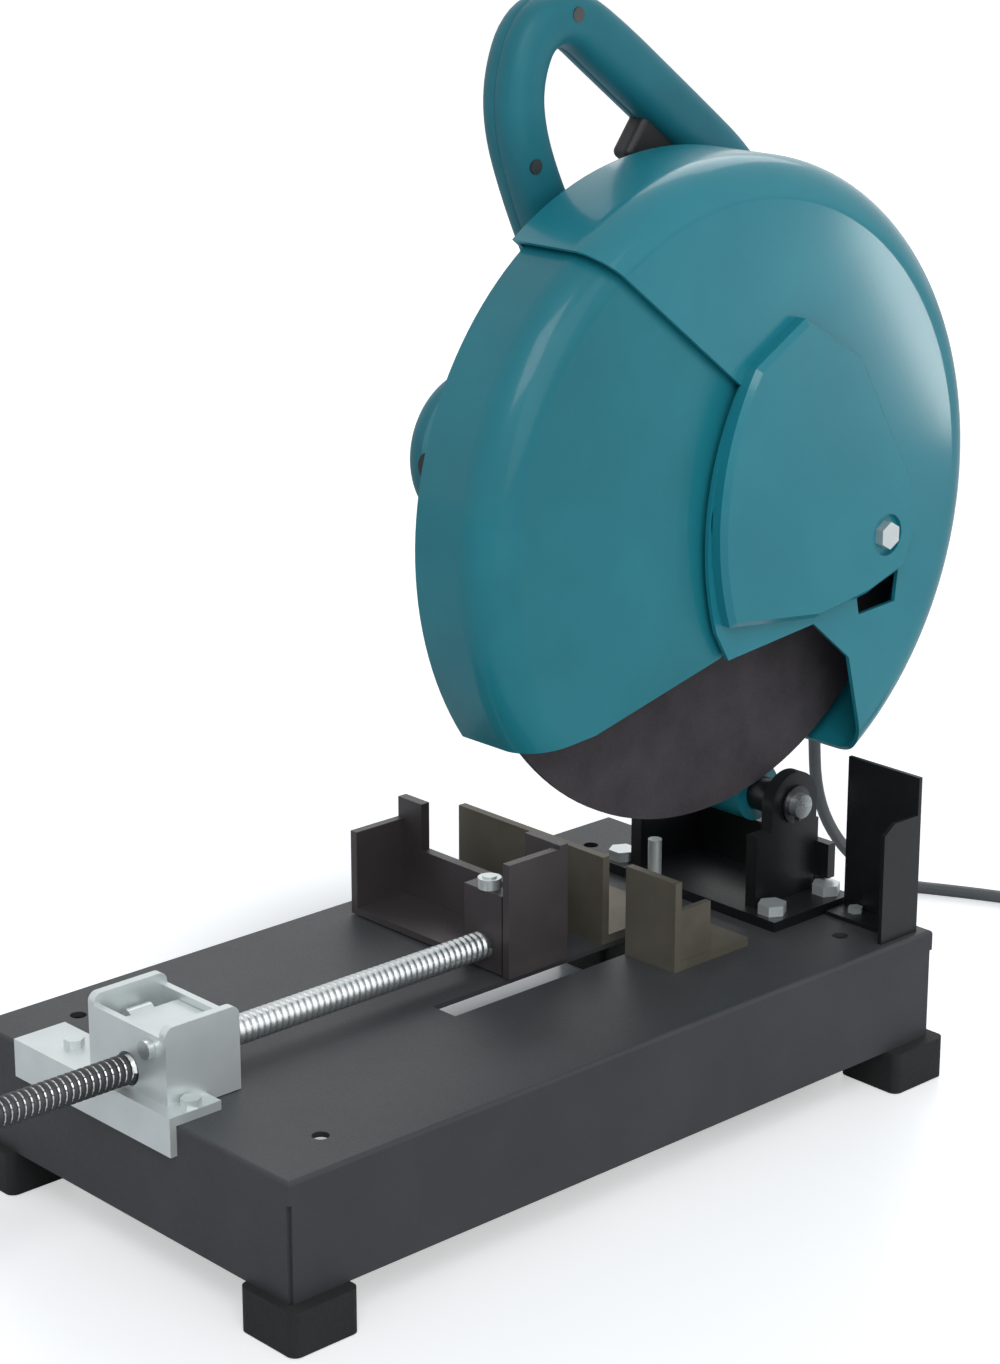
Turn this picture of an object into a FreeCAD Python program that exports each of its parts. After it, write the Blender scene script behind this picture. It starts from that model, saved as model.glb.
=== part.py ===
import FreeCAD, Part
import math
import os
import re
import Sketcher
from FreeCAD import Placement, Rotation, Vector

# An abrasive chop saw for 355 mm wheels, in millimetres. X runs to the wheel side, Y to the
# rear and Z up. The machine stands on Z = 0, with its footprint centred on the origin, and its
# head is raised.

SIZES = {
    # Pressed base and its feet.
    "base_width": 260, "base_length": 470, "base_top": 88, "base_low": 24, "sheet_thick": 3,
    "slot_width": 18, "slot_front": -45, "slot_rear": 135,
    "foot_width": 42, "foot_across": 117, "foot_along": 219,
    # Pivot of the head.
    "pivot_y": 205, "pivot_z": 150, "pivot_radius": 7, "pivot_fit": 0.05,
    "ear_inner": 42, "ear_thick": 8, "stop_x": -13, "stop_y": 156,
    # Spindle, wheel and guards.
    "spindle_y": 148, "spindle_z": 332, "wheel_x": 28, "wheel_radius": 177.5, "wheel_thick": 3,
    "bore_radius": 12.7, "flange_radius": 50,
    "guard_radius": 192, "guard_near": 62, "guard_far": -4, "guard_wall": 2.5, "guard_round": 22,
    "safety_radius": 187, "safety_near": 56, "safety_far": 1, "safety_wall": 2,
    # Motor and gears.
    "gear_teeth": 39, "pinion_teeth": 9,
    "motor_y": 108, "motor_z": 345, "motor_radius": 48, "motor_left": -124, "motor_right": -42,
    # Handle.
    "handle_x": -30, "handle_wide": 30,
    # Vise.
    "screw_z": 103, "screw_radius": 8, "jaw_y": 14, "jaw_left": -112, "jaw_right": 22,
    "fence_y": 82, "crank_y": -343,
    # Mains lead.
    "cord_thick": 8,
}

doc = FreeCAD.newDocument("ChopSaw")
sheet = doc.addObject("Spreadsheet::Sheet", "Sizes")
for row, (alias, value) in enumerate(SIZES.items(), start=1):
    sheet.set(f"A{row}", alias)
    sheet.set(f"B{row}", str(value))
    sheet.setAlias(f"B{row}", alias)
doc.recompute()

WORD = re.compile(r"[a-z][a-z_]+")
ALONG = {"x": Rotation(Vector(0, 1, 0), 90), "y": Rotation(Vector(1, 0, 0), -90), "z": Rotation()}
NODES = []


def cells(text):
    """The expression with each alias led by the sheet's name."""
    return WORD.sub(lambda w: f"Sizes.{w.group()}" if w.group() in SIZES else w.group(), str(text))


def number(text):
    """The value of an expression of sheet cells."""
    return float(sheet.evalExpression(cells(text)))


def bind(obj, **sizes):
    """Ties an object's sizes to expressions of sheet cells."""
    for name, text in sizes.items():
        obj.setExpression(name, cells(text))
    return obj


def place(obj, x=0, y=0, z=0, turn=None):
    """Puts an object at a point given by expressions, with a fixed turn."""
    obj.Placement = Placement(Vector(), turn or Rotation())
    for axis, text in zip("xyz", (x, y, z)):
        obj.setExpression(f"Placement.Base.{axis}", cells(text))
    return obj


def box(x, y, z, length, width, height):
    """A block from its least corner."""
    obj = bind(doc.addObject("Part::Box", "Block"), Length=length, Width=width, Height=height)
    return place(obj, x, y, z)


def rod(axis, x, y, z, radius, length):
    """A cylinder from a point along +axis."""
    obj = bind(doc.addObject("Part::Cylinder", "Rod"), Radius=radius, Height=length)
    return place(obj, x, y, z, ALONG[axis])


def cone(axis, x, y, z, radius, end_radius, length):
    """A cone from a point along +axis."""
    obj = doc.addObject("Part::Cone", "Cone")
    bind(obj, Radius1=radius, Radius2=end_radius, Height=length)
    return place(obj, x, y, z, ALONG[axis])


def prism(axis, x, y, z, radius, length, sides=6):
    """A regular prism from a point along +axis, such as a bolt's head."""
    obj = doc.addObject("Part::Prism", "Prism")
    obj.Polygon = sides
    bind(obj, Circumradius=radius, Height=length)
    return place(obj, x, y, z, ALONG[axis])


def join(*parts):
    """One object of several, which stay apart where they do not touch."""
    if len(parts) == 1:
        return parts[0]
    obj = doc.addObject("Part::MultiFuse", "Join")
    obj.Shapes = list(parts)
    return obj


def cut(base, *tools):
    """A base less its tools."""
    obj = doc.addObject("Part::Cut", "Cut")
    obj.Base = base
    obj.Tool = join(*tools)
    return obj


def rounded(base, radius, wanted):
    """The base with a fillet on each edge that the test takes."""
    doc.recompute()
    obj = doc.addObject("Part::Fillet", "Rounded")
    obj.Base = base
    size = number(radius)
    edges = enumerate(base.Shape.Edges, start=1)
    obj.Edges = [(index, size, size) for index, edge in edges if wanted(edge)]
    return obj


def runs(axis):
    """A test for straight edges along an axis."""
    way = {"x": Vector(1, 0, 0), "y": Vector(0, 1, 0), "z": Vector(0, 0, 1)}[axis]

    def test(edge):
        straight = isinstance(edge.Curve, Part.Line)
        return straight and abs(abs(edge.tangentAt(edge.FirstParameter).dot(way)) - 1) < 1e-6
    return test


def node(label, obj):
    """Names a sub-part, which is written to a file of its own."""
    obj.Label = label
    NODES.append(obj)
    return obj


def feature(name, shape, where=None):
    """An object whose shape is worked out here, placed after it is set."""
    obj = doc.addObject("Part::Feature", name)
    obj.Shape = shape
    obj.Placement = where or Placement()
    return obj


# Bodies of sketches and features.

def body(name):
    return doc.addObject("PartDesign::Body", name)


def sketch(owner, role, offset=0):
    """A sketch on one of its own body's origin planes, raised by an expression."""
    drawing = owner.newObject("Sketcher::SketchObject", "Outline")
    plane = next(part for part in owner.Origin.OriginFeatures if part.Role == role)
    drawing.AttachmentSupport = [(plane, "")]
    drawing.MapMode = "FlatFace"
    drawing.setExpression("AttachmentOffset.Base.z", cells(offset))
    return drawing


def arc_between(start, end, radius):
    """The shorter arc between two points, to the left of the way for a positive radius."""
    chord = end - start
    middle = (start + end) * 0.5
    left = Vector(-chord.y, chord.x, 0).normalize()
    sagitta = abs(radius) - math.sqrt(radius ** 2 - (chord.Length / 2) ** 2)
    # A positive radius turns counter-clockwise, so the arc bulges to the right of its chord.
    bulge = middle - left * math.copysign(sagitta, radius)
    if radius > 0:
        return Part.Arc(start, bulge, end)
    return Part.Arc(end, bulge, start)


def hold(drawing, kind, *where, text):
    """A constraint whose value follows an expression."""
    index = drawing.addConstraint(Sketcher.Constraint(kind, *where, number(text)))
    drawing.setExpression(f"Constraints[{index}]", cells(text))


def outline(drawing, *corners):
    """A closed outline. A corner's third value is the radius of the arc that leaves it."""
    points = [Vector(number(corner[0]), number(corner[1]), 0) for corner in corners]
    first = drawing.GeometryCount
    count = len(corners)
    ends = []
    for index, corner in enumerate(corners):
        start, end = points[index], points[(index + 1) % count]
        if len(corner) == 3:
            drawing.addGeometry(arc_between(start, end, number(corner[2])))
            ends.append((1, 2) if number(corner[2]) > 0 else (2, 1))
        else:
            drawing.addGeometry(Part.LineSegment(start, end))
            ends.append((1, 2))
    for index, corner in enumerate(corners):
        before = (index - 1) % count
        drawing.addConstraint(Sketcher.Constraint(
            "Coincident", first + before, ends[before][1], first + index, ends[index][0]))
    for index, corner in enumerate(corners):
        vertex = (-1, 1, first + index, ends[index][0])
        hold(drawing, "DistanceX", *vertex, text=corner[0])
        hold(drawing, "DistanceY", *vertex, text=corner[1])
        if len(corner) == 3:
            hold(drawing, "Radius", first + index, text=f"abs({corner[2]})")
    return drawing


def rectangle(drawing, left, low, right, high):
    return outline(drawing, (left, low), (right, low), (right, high), (left, high))


def circle(drawing, x, y, radius):
    index = drawing.addGeometry(Part.Circle(
        Vector(number(x), number(y), 0), Vector(0, 0, 1), number(radius)))
    hold(drawing, "DistanceX", -1, 1, index, 3, text=x)
    hold(drawing, "DistanceY", -1, 1, index, 3, text=y)
    hold(drawing, "Radius", index, text=radius)
    return drawing


def pad(owner, drawing, length, back=False):
    step = owner.newObject("PartDesign::Pad", "Pad")
    step.Profile = drawing
    step.Reversed = back
    return bind(step, Length=length)


def pocket(owner, drawing, length, back=False):
    """A pocket, which must take something away."""
    doc.recompute()
    before = owner.Shape.Volume
    step = owner.newObject("PartDesign::Pocket", "Pocket")
    step.Profile = drawing
    step.Reversed = back
    bind(step, Length=length)
    doc.recompute()
    if owner.Shape.Volume > before - 1e-3:
        raise RuntimeError(f"a pocket of {owner.Name} cuts nothing")
    return step


def revolve(owner, drawing):
    """A turn of the sketch about its own horizontal axis."""
    step = owner.newObject("PartDesign::Revolution", "Turned")
    step.Profile = drawing
    step.ReferenceAxis = (drawing, ["H_Axis"])
    step.Angle = 360
    return step


def turned(name, x, y, z, *corners):
    """A body turned about an axis along X through a point. Its corners are (x, radius)."""
    owner = body(name)
    revolve(owner, outline(sketch(owner, "XY_Plane"), *corners))
    return place(owner, x, y, z)


# Base: a pressed pan on four rubber feet.

CORNERS = [(side, end) for side in (-1, 1) for end in (-1, 1)]
HOLDER_BOLTS = (-60, 38)


def base_frame():
    pan = body("BaseFrame")
    outer = rectangle(sketch(pan, "XY_Plane", "base_low"), "-base_width / 2", "-base_length / 2",
                      "base_width / 2", "base_length / 2")
    pad(pan, outer, "base_top - base_low")
    inner = rectangle(sketch(pan, "XY_Plane", "base_low"),
                      "sheet_thick - base_width / 2", "sheet_thick - base_length / 2",
                      "base_width / 2 - sheet_thick", "base_length / 2 - sheet_thick")
    pocket(pan, inner, "base_top - base_low - sheet_thick", back=True)
    lugs = sketch(pan, "XY_Plane", "base_low")
    for side, end in CORNERS:
        rectangle(lugs, f"{side} * (base_width / 2 - 1)", f"{end} * (base_length / 2 - 1)",
                  f"{side} * (base_width / 2 - 36)", f"{end} * (base_length / 2 - 36)")
    pad(pan, lugs, "sheet_thick")
    ribs = sketch(pan, "XY_Plane", "base_top - 14")
    for along in (-150, 140):
        rectangle(ribs, "2 - base_width / 2", along, "base_width / 2 - 2", along + 3)
    pad(pan, ribs, 13)
    openings = sketch(pan, "XY_Plane", "base_top")
    rectangle(openings, "wheel_x - slot_width / 2", "slot_front",
              "wheel_x + slot_width / 2", "slot_rear")
    for side, end in CORNERS:
        circle(openings, f"{side} * 100", f"{end} * 190", 4.5)
    for x in (-60, 60):
        circle(openings, x, "fence_y + 22", 4.3)
        for y in (177, 223):
            circle(openings, x, y, 5.3)
    for x in HOLDER_BOLTS:
        circle(openings, x, "-base_length / 2 + 14", 3.3)
    circle(openings, "stop_x", "stop_y", 4.2)
    for x in (86, 110):
        circle(openings, x, 219, 2.7)
    pocket(pan, openings, "sheet_thick + 1")
    holes = sketch(pan, "XY_Plane", "base_low")
    for side, end in CORNERS:
        circle(holes, f"{side} * foot_across", f"{end} * foot_along", 3.3)
    pocket(pan, holes, "sheet_thick + 1", back=True)
    notches = sketch(pan, "XY_Plane", "base_low")
    for side, end in CORNERS:
        rectangle(notches, f"{side} * (base_width / 2 - 2)", f"{end} * (base_length / 2 - 2)",
                  f"{side} * (base_width / 2 + 1)", f"{end} * (base_length / 2 + 1)")
    pocket(pan, notches, "base_top - base_low - 12", back=True)
    doc.recompute()
    rim = [f"Edge{index}" for index, edge in enumerate(pan.Shape.Edges, start=1)
           if abs(edge.BoundBox.ZMin - number("base_top")) < 0.01
           and edge.Length > number("base_width") * 0.9]
    last = pan.Tip
    soft = pan.newObject("PartDesign::Fillet", "Rim")
    soft.Base = (last, rim)
    soft.Radius = 2.5
    node("base_frame", pan)


def feet():
    pads, screws = [], []
    for side, end in CORNERS:
        x, y = f"{side} * foot_across", f"{end} * foot_along"
        block = box(f"{x} - foot_width / 2", f"{y} - foot_width / 2", 0,
                    "foot_width", "foot_width", "base_low")
        well = rod("z", x, y, -1, 7, 13)
        way = rod("z", x, y, 0, 3.2, "base_low + 1")
        pads.append(cut(rounded(block, 5, runs("z")), well, way))
        head = rod("z", x, y, 7, 6, 5)
        shank = rod("z", x, y, 7, 3, "base_low + sheet_thick")
        nut = prism("z", x, y, "base_low + sheet_thick", 5.8, 5)
        screws.append(join(head, shank, nut))
    node("rubber_feet", join(*pads))
    node("foot_screws", join(*screws))


def bolt(x, y, seat, grip, radius, head=4.5, ratio=1.85):
    """A hexagon bolt down through a grip, with a nut under it."""
    top = prism("z", x, y, seat, radius * ratio, head)
    shank = rod("z", x, y, f"{seat} - ({grip}) - {head} - 3", radius, f"{grip} + {head} + 3")
    nut = prism("z", x, y, f"{seat} - ({grip}) - {head}", radius * ratio, head)
    return join(top, shank, nut)


def pivot_bracket():
    flange = box(-72, 166, "base_top", 144, 66, 6)
    parts = [flange]
    for x in ("-ear_inner - ear_thick", "ear_inner"):
        web = box(x, 174, "base_top + 5", "ear_thick", 52, 44)
        eye = rod("x", x, "pivot_y", "pivot_z", 19, "ear_thick")
        brow = box(x, "pivot_y - 19", "base_top + 30", "ear_thick", 38, 32)
        parts += [web, eye, brow]
    parts.append(rod("x", "ear_inner - 20", "pivot_y", "pivot_z", 10, 21))
    parts.append(box(-60, 224, "base_top + 5", 120, 6, 30))
    bore = rod("x", "-ear_inner - 20", "pivot_y", "pivot_z", "pivot_radius + 0.02", 124)
    holes = [rod("z", x, y, "base_top - 1", 5.3, 9) for x in (-60, 60) for y in (177, 223)]
    clear = [rod("z", x, y, "base_top + 6", 9.6, 8) for x in (-60, 60) for y in (177, 223)]
    node("pivot_bracket", cut(join(*parts), bore, *holes, *clear))
    bolts = [bolt(x, y, "base_top + 6", "sheet_thick + 6", 5, 6, 1.7)
             for x in (-60, 60) for y in (177, 223)]
    node("bracket_bolts", join(*bolts))
    shaft = rod("x", -57, "pivot_y", "pivot_z", "pivot_radius", 114)
    grooves = [cut(rod("x", x, "pivot_y", "pivot_z", "pivot_radius + 1", 1.2),
                   rod("x", x - 1, "pivot_y", "pivot_z", "pivot_radius - 0.8", 4))
               for x in (-52, 50.8)]
    node("pivot_shaft", cut(shaft, *grooves))
    rings = [cut(rod("x", x + 0.05, "pivot_y", "pivot_z", 11, 1.1),
                 rod("x", x - 1, "pivot_y", "pivot_z", "pivot_radius - 0.75", 4),
                 box(x - 1, "pivot_y - 2", "pivot_z - 14", 4, 4, 12))
             for x in (-52, 50.8)]
    node("shaft_clips", join(*rings))


def torsion_spring():
    wire, radius, pitch, turns = 2, 13.2, 4.4, 3.5
    helix = Part.makeHelix(pitch, pitch * turns, radius)
    start = helix.Edges[0].valueAt(helix.Edges[0].FirstParameter)
    section = Part.Wire(Part.makeCircle(wire, start, Vector(0, 1, 0)))
    coil = Part.Wire(helix.Edges).makePipeShell([section], True, True)
    where = Vector(-39.4, number("pivot_y"), number("pivot_z"))
    node("torsion_spring", feature("Spring", coil, Placement(where, ALONG["x"])))


def guide_plate():
    foot = box(-100, "fence_y + 1", "base_top", 175, 58, 5)
    face = box(-100, "fence_y", "base_top", 175, 5, 52)
    gap = box("wheel_x - slot_width / 2", "fence_y - 1", "base_top - 1", "slot_width", 45, 60)
    slots = [join(rod("z", x, "fence_y + 22", "base_top - 1", 4.3, 8),
                  rod("z", x, "fence_y + 36", "base_top - 1", 4.3, 8),
                  box(x - 4.3, "fence_y + 22", "base_top - 1", 8.6, 14, 8)) for x in (-60, 60)]
    ribs = [box(x, "fence_y + 4", "base_top + 4", 4, 26, 30) for x in (-98, -30, 38, 69)]
    plate = cut(join(foot, face, *ribs), gap, *slots)
    node("guide_plate", plate)
    bolts = []
    for x in (-60, 60):
        washer = rod("z", x, "fence_y + 22", "base_top + 5", 8.5, 1.6)
        bolts.append(join(washer, bolt(x, "fence_y + 22", "base_top + 6.6",
                                       "sheet_thick + 6.6", 4, 5.3, 1.7)))
    node("guide_plate_bolts", join(*bolts))


def depth_stop():
    shank = rod("z", "stop_x", "stop_y", "base_top - 16", 4, 52)
    head = prism("z", "stop_x", "stop_y", "base_top + 51", 7.5, 5.5)
    nuts = [cut(prism("z", "stop_x", "stop_y", height, 7.5, 6.5),
                rod("z", "stop_x", "stop_y", height, 4, 20))
            for height in ("base_top", "base_top - sheet_thick - 6.5")]
    node("stop_bolt", join(shank, head, *nuts))


def spark_guard():
    back = box(73, 224, "base_top", 52, 2.5, 92)
    side = box(122.5, 196, "base_top", 2.5, 30, 70)
    tab = box(73, 208, "base_top", 52, 18, 2.5)
    slope = box(100, 190, "base_top + 60", 40, 25, 40)
    slope.Placement.Rotation = Rotation(Vector(1, 0, 0), 35)
    holes = [rod("z", x, 219, "base_top - 1", 2.7, 5) for x in (86, 110)]
    node("spark_guard", cut(join(back, side, tab), slope, *holes))
    screws = [bolt(x, 219, "base_top + 2.5", "sheet_thick + 2.5", 2.5, 3, 1.8) for x in (86, 110)]
    node("spark_guard_screws", join(*screws))


# Vise: a holder on the front edge with a flip-up nut, a screw, and a jaw that the screw pushes.

def vise_holder():
    strip = box(-88, "-base_length / 2 - 2", "base_top", 132, 30, 5)
    lip = box(-88, "-base_length / 2 - 4", "base_top - 16", 132, 4, 21)
    cheeks = [box(x, "-base_length / 2 + 4", "base_top + 4", 5, 46, 42) for x in (-32, 27)]
    shelf = box(-32, "-base_length / 2 + 4", "base_top + 0.5", 64, 46, 4.5)
    tunnel = rod("y", 0, "-base_length / 2 - 10", "screw_z", "screw_radius + 1", 80)
    holes = [rod("z", x, "-base_length / 2 + 14", "base_top - 1", 3.3, 8) for x in HOLDER_BOLTS]
    pin_way = rod("y", 19, "-base_length / 2 - 6", "screw_z + 17", 3.1, 80)
    end = box(-28, "-base_length / 2 + 4", "base_top + 4", 56, 4, 36)
    rear = box(-28, "-base_length / 2 + 46", "base_top + 4", 56, 4, 36)
    frame = cut(join(strip, lip, *cheeks, shelf, end, rear), tunnel, *holes, pin_way)
    soft = rounded(frame, 5, lambda edge: runs("x")(edge) and edge.BoundBox.ZMin > 133
                   and edge.Length < 6)
    node("vise_holder", soft)
    bolts = [bolt(x, "-base_length / 2 + 14", "base_top + 5", "sheet_thick + 5", 3, 4, 1.8)
             for x in HOLDER_BOLTS]
    node("vise_holder_bolts", join(*bolts))


def vise_nut():
    y = "-base_length / 2 + 8.4"
    block = box(-13, y, "screw_z + 4", 30, 37.2, 17)
    ear = rod("y", 19, y, "screw_z + 17", 6, 37.2)
    lever = box(-21, f"{y} + 11", "screw_z + 15", 14, 15, 4)
    tip = rod("y", -21, f"{y} + 11", "screw_z + 17", 3.5, 15)
    mouth = rod("y", 0, f"{y} - 2", "screw_z", "screw_radius + 1.2", 42)
    bore = rod("y", 19, f"{y} - 2", "screw_z + 17", 3.05, 42)
    node("vise_nut", cut(join(block, ear, lever, tip), mouth, bore))
    pin = rod("y", 19, "-base_length / 2 + 2", "screw_z + 17", 3, 50)
    cap = rod("y", 19, "-base_length / 2", "screw_z + 17", 5, 3.9)
    node("vise_nut_pin", join(pin, cap))


def vise_screw():
    shaft = rod("y", 0, "crank_y + 10", "screw_z", "screw_radius", "jaw_y - 5.3 - (crank_y + 10)")
    tail = rod("y", 0, "jaw_y - 8", "screw_z", 6, 14)
    collar = rod("y", 0, "jaw_y + 5.5", "screw_z", 9, 5)
    node("vise_screw", join(shaft, tail, collar))
    hub = rod("y", 0, "crank_y", "screw_z", 12, 20)
    bar = rod("z", 0, "crank_y + 9", "screw_z - 26", 4.5, 78)
    way = rod("y", 0, "crank_y + 10", "screw_z", "screw_radius", 14)
    node("vise_crank", cut(join(hub, bar), way))
    knob = rod("z", 0, "crank_y + 9", "screw_z - 38", 8, 15)
    well = rod("z", 0, "crank_y + 9", "screw_z - 26", 4.5, 20)
    soft = rounded(knob, 3, lambda edge: isinstance(edge.Curve, Part.Circle))
    node("crank_knob", cut(soft, well))


def vise_jaw():
    floor = "base_top + 1"
    face = box("jaw_left", "jaw_y + 32", floor, "jaw_right - jaw_left", 6, 34)
    horn = box("jaw_left", "jaw_y + 32", floor, 20, 6, 62)
    tall = box("jaw_right - 28", "jaw_y + 32", floor, 28, 6, 68)
    left_web = box("jaw_left", "jaw_y - 4", floor, 5, 40, 50)
    right_web = box("jaw_right - 5", "jaw_y - 6", floor, 5, 42, 66)
    deck = box("jaw_left + 1", "jaw_y - 4", floor, "jaw_right - jaw_left - 2", 38, 4)
    yoke = box(-15, "jaw_y - 5", floor, 30, 10, 46)
    frame = join(face, horn, tall, left_web, right_web, deck, yoke)
    way = rod("y", 0, "jaw_y - 8", "screw_z", 6.05, 14)
    pin_way = rod("z", 0, "jaw_y", "screw_z + 13", 4, 40)
    node("vise_jaw", cut(frame, way, pin_way))
    pin = rod("z", 0, "jaw_y", "screw_z + 13.1", 3.98, 26)
    cap = rod("z", 0, "jaw_y", "base_top + 47.1", 6.5, 6)
    node("jaw_pin", join(pin, cap))


# Head: the cast arm carries the gears, the motor, the guards and the handle.

def around(y, z, radius, *degrees):
    """Points on a circle, as expressions."""
    return [(f"{y} + {radius * math.cos(math.radians(turn)):.3f}",
             f"{z} + {radius * math.sin(math.radians(turn)):.3f}") for turn in degrees]


GUARD_SCREWS = around("spindle_y", "spindle_z", 52, 10, 80, -62)
MOTOR_SCREWS = around("motor_y", "motor_z", 51.8, 60, 120, 180, 240)


def arm_housing():
    low = body("ArmLow")
    pad(low, outline(sketch(low, "YZ_Plane", -20), (187, 146), (223, 154), (212, 250), (206, 350),
                     (120, 316), (158, 250)), 14)
    high = body("ArmHigh")
    pad(high, outline(sketch(high, "YZ_Plane", -38), (176, 214), (210, 222), (206, 330),
                      (236, 400), (240, 424), (86, 424), (84, 392), (150, 300)), 24)
    lug = rod("x", -20, "pivot_y", "pivot_z", 17, 41.7)
    gear_case = rod("x", "motor_right", "spindle_y", "spindle_z", 44, "-6 - motor_right")
    motor_seat = rod("x", "motor_right", "motor_y", "motor_z", "motor_radius + 8",
                     "-6 - motor_right")
    bosses = [rod("x", -20, y, z, 7, 14) for y, z in GUARD_SCREWS]
    catch = box(-20, 166, 176, 14, 32, 16)
    bore = rod("x", -24, "pivot_y", "pivot_z", "pivot_radius + pivot_fit", 60)
    gear_room = rod("x", -32, "spindle_y", "spindle_z", 38.5, 16)
    nose = rod("x", -16.1, "spindle_y", "spindle_z", 20, 12)
    rear_seat = rod("x", -40, "spindle_y", "spindle_z", 12, 9)
    pinion_room = rod("x", -34.1, "motor_y", "motor_z", 12, 18.1)
    motor_bore = rod("x", -43, "motor_y", "motor_z", 13, 9)
    lock_way = rod("x", -44, "spindle_y + 24", "spindle_z - 8", 3.6, 14)
    screws = [rod("x", -6 - 9, y, z, 2.5, 10) for y, z in GUARD_SCREWS]
    lugs = [rod("x", -50, y, z, 2.5, 20) for y, z in MOTOR_SCREWS]
    node("arm_housing", cut(join(low, high, lug, gear_case, motor_seat, catch, *bosses), bore, gear_room,
                            nose, rear_seat, pinion_room, motor_bore, lock_way, *screws, *lugs))


def bearing_box():
    box_body = turned("BearingBox", 0, "spindle_y", "spindle_z", (-14, 16), (-14, 20), (-6, 20),
                      (-6, 60), (-4, 60), (-4, 30), (5.5, 30), (5.5, 10.6), (-2, 10.6), (-2, 16))
    holes = [rod("x", -8, y, z, 2.5, 6) for y, z in GUARD_SCREWS]
    node("bearing_box", cut(box_body, *holes))
    groove = turned("Retainer", 0, "spindle_y", "spindle_z", (3.5, 30), (3.5, 36), (5, 36), (5, 30))
    node("guard_retainer", groove)


def bearing(y, z, start, width, inner, outer):
    """A ball bearing: two rings, a shield on each side and no loose balls."""
    wall = (outer - inner) * 0.28
    inner_ring = turned("InnerRing", 0, y, z, (start, inner), (start + width, inner),
                        (start + width, inner + wall), (start, inner + wall))
    outer_ring = turned("OuterRing", 0, y, z, (start, outer - wall), (start + width, outer - wall),
                        (start + width, outer), (start, outer))
    shield = turned("Shield", 0, y, z, (start + 0.6, inner + wall), (start + width - 0.6, inner + wall),
                    (start + width - 0.6, outer - wall), (start + 0.6, outer - wall))
    return join(inner_ring, outer_ring, shield)


def bearings():
    spindle = ("spindle_y", "spindle_z")
    motor = ("motor_y", "motor_z")
    node("spindle_bearings", join(bearing(*spindle, -12, 10, 10.05, 16),
                                  bearing(*spindle, -40, 7, 8.05, 12)))
    node("motor_bearings", join(bearing(*motor, -42, 7.5, 5.05, 13),
                                bearing(*motor, -118, 7, 5.05, 11)))


def guard_shell(name, far, near, radius, wall, hub, centre):
    """A drum open at its rim's far side: a rounded near shoulder, two walls and a hub hole."""
    return turned(
        name, 0, "spindle_y", "spindle_z",
        (far, hub), (f"{far} + {wall}", hub), (f"{far} + {wall}", f"{radius} - {wall}"),
        (f"{near} - guard_round", f"{radius} - {wall}", f"{wall} - guard_round"),
        (f"{near} - {wall}", f"{radius} - guard_round"), (f"{near} - {wall}", centre),
        (near, centre), (near, f"{radius} - guard_round", "guard_round"),
        (f"{near} - guard_round", radius), (far, radius))


def wheel_guard():
    shell = guard_shell("WheelGuard", "guard_far", "guard_near", "guard_radius", "guard_wall", 33, 30)
    away = outline(sketch(shell, "YZ_Plane", "guard_near + 1"), (-160, 190), (-8, 72, 160),
                   (-24, -62), (-14, -79), (55, -72), (86, -98), (101, -158), (125, -192),
                   (150, -240), (-260, -260), (-260, 190))
    pocket(shell, away, "guard_near - guard_far + 2")
    window = outline(sketch(shell, "YZ_Plane", "guard_near + 1"), (88, -50), (127, -46),
                     (124, -72), (93, -74))
    pocket(shell, window, "guard_wall + 3")
    holes = sketch(shell, "YZ_Plane", "guard_far + guard_wall + 1")
    for turn in (10, 80, -62):
        circle(holes, f"52 * cos({turn} deg)", f"52 * sin({turn} deg)", 2.5)
    pocket(shell, holes, "guard_wall + 2")
    clamp = sketch(shell, "YZ_Plane", "guard_near + 1")
    circle(clamp, 105, -28, 4.2)
    pocket(shell, clamp, "guard_wall + 3")
    node("wheel_guard", shell)
    screws = [join(rod("x", -14, y, z, 2.45, 12.5), rod("x", "guard_far + guard_wall", y, z, 4.5, 1.8))
              for y, z in GUARD_SCREWS]
    node("guard_screws", join(*screws))


def center_cover():
    cover = body("CenterCover")
    shape = outline(sketch(cover, "YZ_Plane", "guard_near"), (-4, 82, 160), (-20, -58), (50, -66),
                    (92, -60), (122, -50), (132, -24), (124, 4), (80, 78), (34, 104))
    pad(cover, shape, 9)
    doc.recompute()
    face = number("guard_near") + 9
    rim = [f"Edge{index}" for index, edge in enumerate(cover.Shape.Edges, start=1)
           if edge.BoundBox.XMin > face - 0.01]
    last = cover.Tip
    soft = cover.newObject("PartDesign::Chamfer", "Rim")
    soft.Base = (last, rim)
    soft.Size = 3
    place(cover, 0, "spindle_y", "spindle_z")
    way = rod("x", "guard_near - 1", "spindle_y + 105", "spindle_z - 28", 4.2, 12)
    dimple = rod("x", "guard_near + 6", "spindle_y + 105", "spindle_z - 28", 12, 5)
    hollow = rod("x", "guard_near - 1", "spindle_y", "spindle_z", 18, 4)
    node("center_cover", cut(cover, way, dimple, hollow))
    shank = rod("x", "guard_near - 6", "spindle_y + 105", "spindle_z - 28", 4, 13)
    head = prism("x", "guard_near + 6", "spindle_y + 105", "spindle_z - 28", 8, 5.5)
    nut = prism("x", "guard_near - guard_wall - 4", "spindle_y + 105", "spindle_z - 28", 8, 4)
    node("cover_screw", join(shank, head, nut))


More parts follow.
